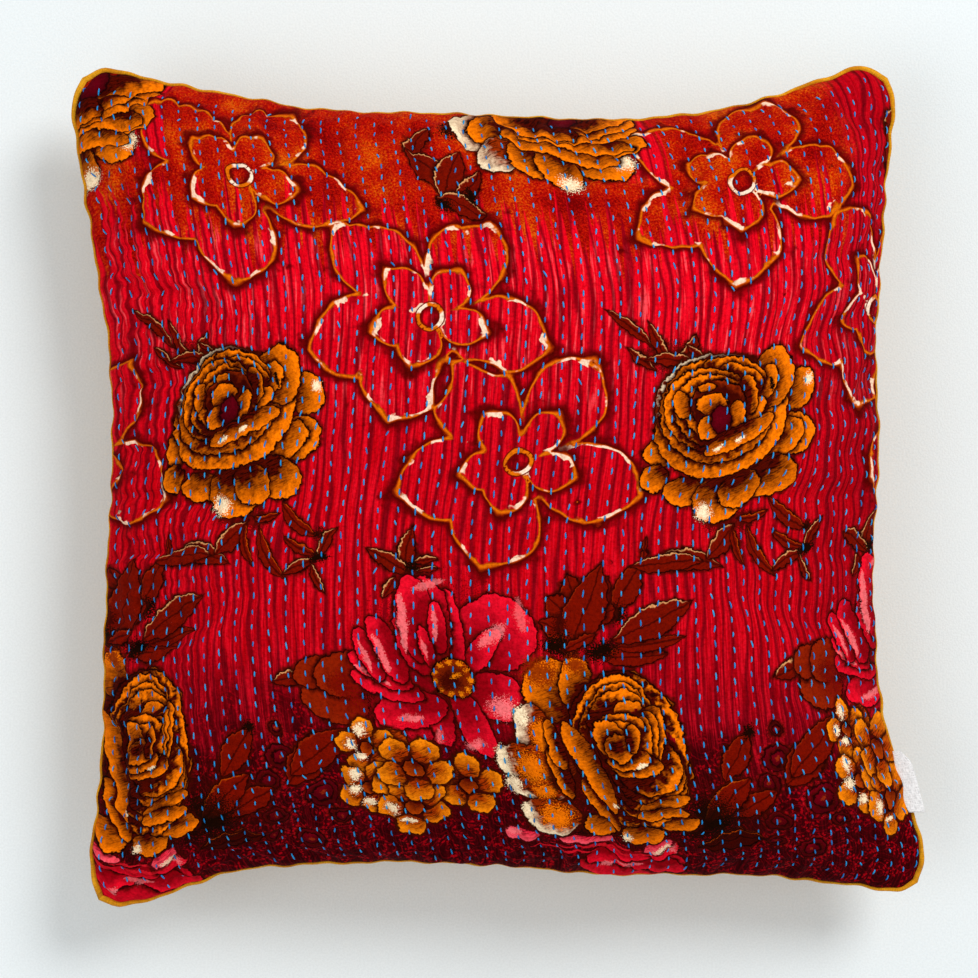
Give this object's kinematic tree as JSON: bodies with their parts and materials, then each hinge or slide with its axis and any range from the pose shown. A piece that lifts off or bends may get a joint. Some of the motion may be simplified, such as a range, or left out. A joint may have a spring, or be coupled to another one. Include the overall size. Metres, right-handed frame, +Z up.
{
  "type": "kantha cushion",
  "caption": "Square filled cushion with a printed kantha face in close rows of running stitch, a plain back cloth rolled over the seam and a bare side label.",
  "frame": {"origin": "on the resting face, under the middle of the cushion", "axes": "+Z up out of the quilted face, +Y towards the cushion's top edge, +X towards the edge that carries the label"},
  "size_m": [0.455, 0.4487, 0.142],
  "materials": {
    "kantha_cotton": "soft printed cotton, hand quilted in rows of blue running stitch",
    "back_cotton": "plain mustard cotton, matt",
    "label_tape": "white woven tape, bare"
  },
  "bodies": {
    "root": {"cushion": "kantha_cotton", "seam_edge": "back_cotton", "label": "label_tape"}
  },
  "joints": []
}
